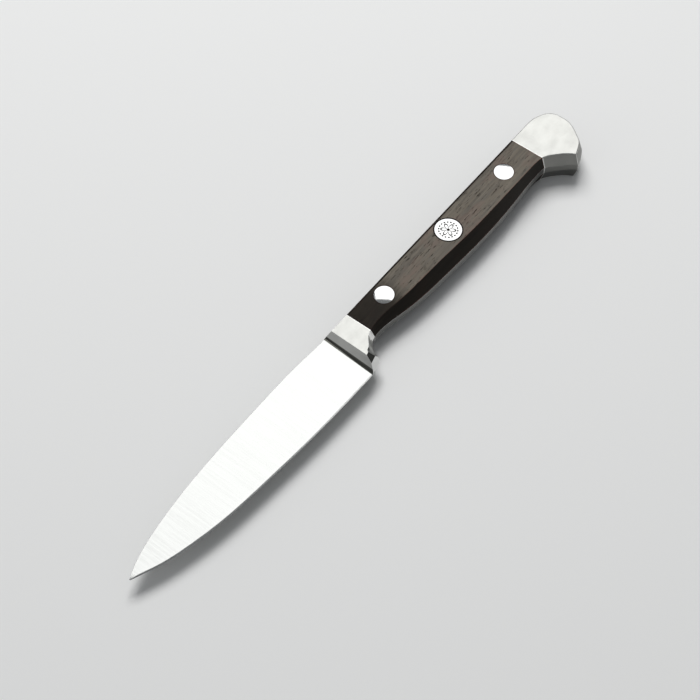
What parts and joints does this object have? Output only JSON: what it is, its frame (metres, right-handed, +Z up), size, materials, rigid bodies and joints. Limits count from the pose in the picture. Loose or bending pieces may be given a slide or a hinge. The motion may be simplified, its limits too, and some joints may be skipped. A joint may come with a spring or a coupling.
{
  "type": "paring knife",
  "caption": "Forged paring knife lying on its side, with bolster, full tang, riveted dark wood scales and a steel pommel.",
  "frame": {"origin": "middle of the underside of the knife's box, where it lies on its right side", "axes": "+X along the knife towards the butt, +Y towards the spine, +Z up from the surface it lies on"},
  "size_m": [0.219, 0.0242, 0.0114],
  "materials": {
    "steel": "satin",
    "grip_wood": "oiled",
    "rivet_steel": "polished"
  },
  "bodies": {
    "root": {"forged_blade": "steel", "left_scale": "grip_wood", "right_scale": "grip_wood", "front_rivet_stud": "rivet_steel", "front_rivet_socket": "rivet_steel", "middle_rivet_stud": "rivet_steel", "middle_rivet_socket": "rivet_steel", "rear_rivet_stud": "rivet_steel", "rear_rivet_socket": "rivet_steel"}
  },
  "joints": []
}
